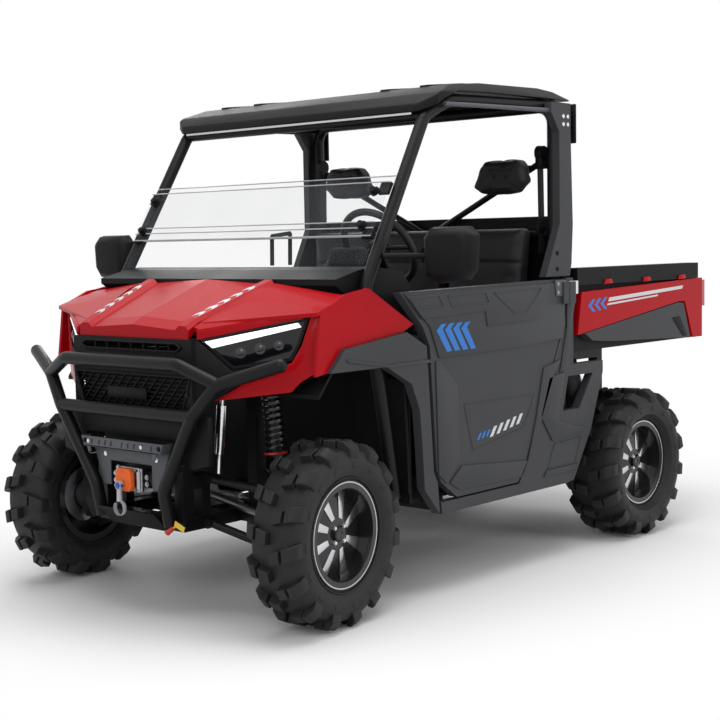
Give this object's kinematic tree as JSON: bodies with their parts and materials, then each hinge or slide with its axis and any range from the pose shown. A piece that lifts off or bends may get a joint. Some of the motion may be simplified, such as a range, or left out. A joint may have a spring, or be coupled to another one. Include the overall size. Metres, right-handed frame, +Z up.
{
  "type": "side by side utility vehicle",
  "caption": "Off-road utility vehicle with a bench cab under a roof, half doors, a tube bumper with winch, and a tipping cargo bed with tailgate.",
  "frame": {"origin": "on the ground under the middle of the vehicle's box", "axes": "-Y forward, +X the vehicle's left, +Z up"},
  "size_m": [2.19, 3.19, 2.04],
  "materials": {
    "tyre": "matt tread rubber",
    "black_wheel": "satin black with machined faces",
    "cast": "bare casting",
    "black_steel": "powder coat, fine texture",
    "steel": "dull machined steel",
    "bright": "bright plated",
    "grey_steel": "satin steel grey",
    "black_plastic": "fine grained",
    "grey_plastic": "grained dark grey",
    "red_panel": "gloss red",
    "lamp_lens": "clear over black",
    "rear_lens": "red lens",
    "orange_rubber": "moulded orange",
    "black_rubber": "moulded black",
    "seat_vinyl": "grained vinyl",
    "clear": "clear polycarbonate",
    "engine": "cast metal",
    "alloy": "bare"
  },
  "bodies": {
    "chassis": {"arch_liners": "black_plastic", "bed_strut": "bright", "cab_tub": "black_plastic", "cable_stopper": "orange_rubber", "chassis_frame": "black_steel", "dashboard": "black_plastic", "driveline": "steel", "engine_block": "engine", "exhaust": "steel", "front_bumper": "black_steel", "front_fascia": "black_plastic", "front_wings": "red_panel", "grille": "black_plastic", "headlamps": "lamp_lens", "hitch_receiver": "black_steel", "intake_duct": "black_rubber", "mirrors": "black_plastic", "pillar_covers": "grey_plastic", "rack_housing": "alloy", "radiator": "alloy", "rear_knuckles": "cast", "roll_cage": "black_steel", "roof": "black_plastic", "screen_clamps": "black_plastic", "seat_backs": "seat_vinyl", "seat_base": "black_plastic", "seat_cushions": "seat_vinyl", "shocks": "black_steel", "side_panels": "grey_plastic", "skid_plate": "black_plastic", "suspension_arms": "black_steel", "wheel_flares": "grey_plastic", "winch": "black_steel", "winch_hook": "bright", "winch_mount": "grey_steel", "windscreen": "clear"},
    "knuckle_left": {"knuckle_left": "cast"},
    "knuckle_right": {"knuckle_right": "cast"},
    "wheel_fl": {"rim_fl": "black_wheel", "tyre_fl": "tyre"},
    "wheel_fr": {"rim_fr": "black_wheel", "tyre_fr": "tyre"},
    "wheel_rl": {"rim_rl": "black_wheel", "tyre_rl": "tyre"},
    "wheel_rr": {"rim_rr": "black_wheel", "tyre_rr": "tyre"},
    "steering_wheel": {"steering_wheel": "black_rubber"},
    "rack": {"tie_rods": "steel"},
    "bed": {"cargo_bed": "black_plastic", "bed_sides": "red_panel", "bed_trims": "grey_plastic", "tail_lamps": "rear_lens"},
    "tailgate": {"tailgate": "black_plastic"},
    "door_left": {"door_left": "grey_plastic"},
    "door_right": {"door_right": "grey_plastic"},
    "hood": {"hood": "red_panel"}
  },
  "joints": [
    {"name": "steer_left", "type": "hinge", "parent": "chassis", "child": "knuckle_left", "pos_m": [0.64, -1.175, 0.343], "axis": [0, 0, 1], "range_deg": [-36, 24]},
    {"name": "steer_right", "type": "hinge", "parent": "chassis", "child": "knuckle_right", "pos_m": [-0.64, -1.175, 0.343], "axis": [0, 0, 1], "range_deg": [-36, 24]},
    {"name": "steering_wheel_turn", "type": "hinge", "parent": "chassis", "child": "steering_wheel", "pos_m": [0.395, -0.475, 1.368], "axis": [0, 0.848, 0.5299], "range_deg": [-330, 222]},
    {"name": "rack_slide", "type": "slide", "parent": "chassis", "child": "rack", "axis": [1, 0, 0], "range_m": [-0.0385, 0.0565]},
    {"name": "spin_fl", "type": "hinge", "parent": "knuckle_left", "child": "wheel_fl", "pos_m": [0.71558, -1.16706, 0.343], "axis": [0.9945, 0.1045, 0], "continuous": true},
    {"name": "spin_fr", "type": "hinge", "parent": "knuckle_right", "child": "wheel_fr", "pos_m": [-0.71558, -1.18294, 0.343], "axis": [0.9945, 0.1045, 0], "continuous": true},
    {"name": "spin_rl", "type": "hinge", "parent": "chassis", "child": "wheel_rl", "pos_m": [0.72, 0.901, 0.343], "axis": [1, 0, 0], "continuous": true},
    {"name": "spin_rr", "type": "hinge", "parent": "chassis", "child": "wheel_rr", "pos_m": [-0.72, 0.901, 0.343], "axis": [1, 0, 0], "continuous": true},
    {"name": "door_left_swing", "type": "hinge", "parent": "chassis", "child": "door_left", "pos_m": [0.79, 0.329, 1.16], "axis": [0, 0, 1], "range_deg": [0, 75]},
    {"name": "door_right_swing", "type": "hinge", "parent": "chassis", "child": "door_right", "pos_m": [-0.79, 0.329, 1.16], "axis": [0, 0, -1], "range_deg": [0, 75]},
    {"name": "hood_lift", "type": "hinge", "parent": "chassis", "child": "hood", "pos_m": [0, -1.065, 1.257], "axis": [-1, 0, 0], "range_deg": [0, 50]},
    {"name": "bed_tip", "type": "hinge", "parent": "chassis", "child": "bed", "pos_m": [0, 1.265, 0.852], "axis": [-1, 0, 0], "range_deg": [0, 38]},
    {"name": "tailgate_drop", "type": "hinge", "parent": "bed", "child": "tailgate", "pos_m": [0, 1.543, 0.925], "axis": [-1, 0, 0], "range_deg": [0, 90]}
  ],
  "couplings": [
    {"joint": "steer_right", "follows": "steer_left", "ratio": 1},
    {"joint": "steering_wheel_turn", "follows": "steer_left", "ratio": 9},
    {"joint": "rack_slide", "follows": "steer_left", "m_per_rad": -0.0875}
  ]
}
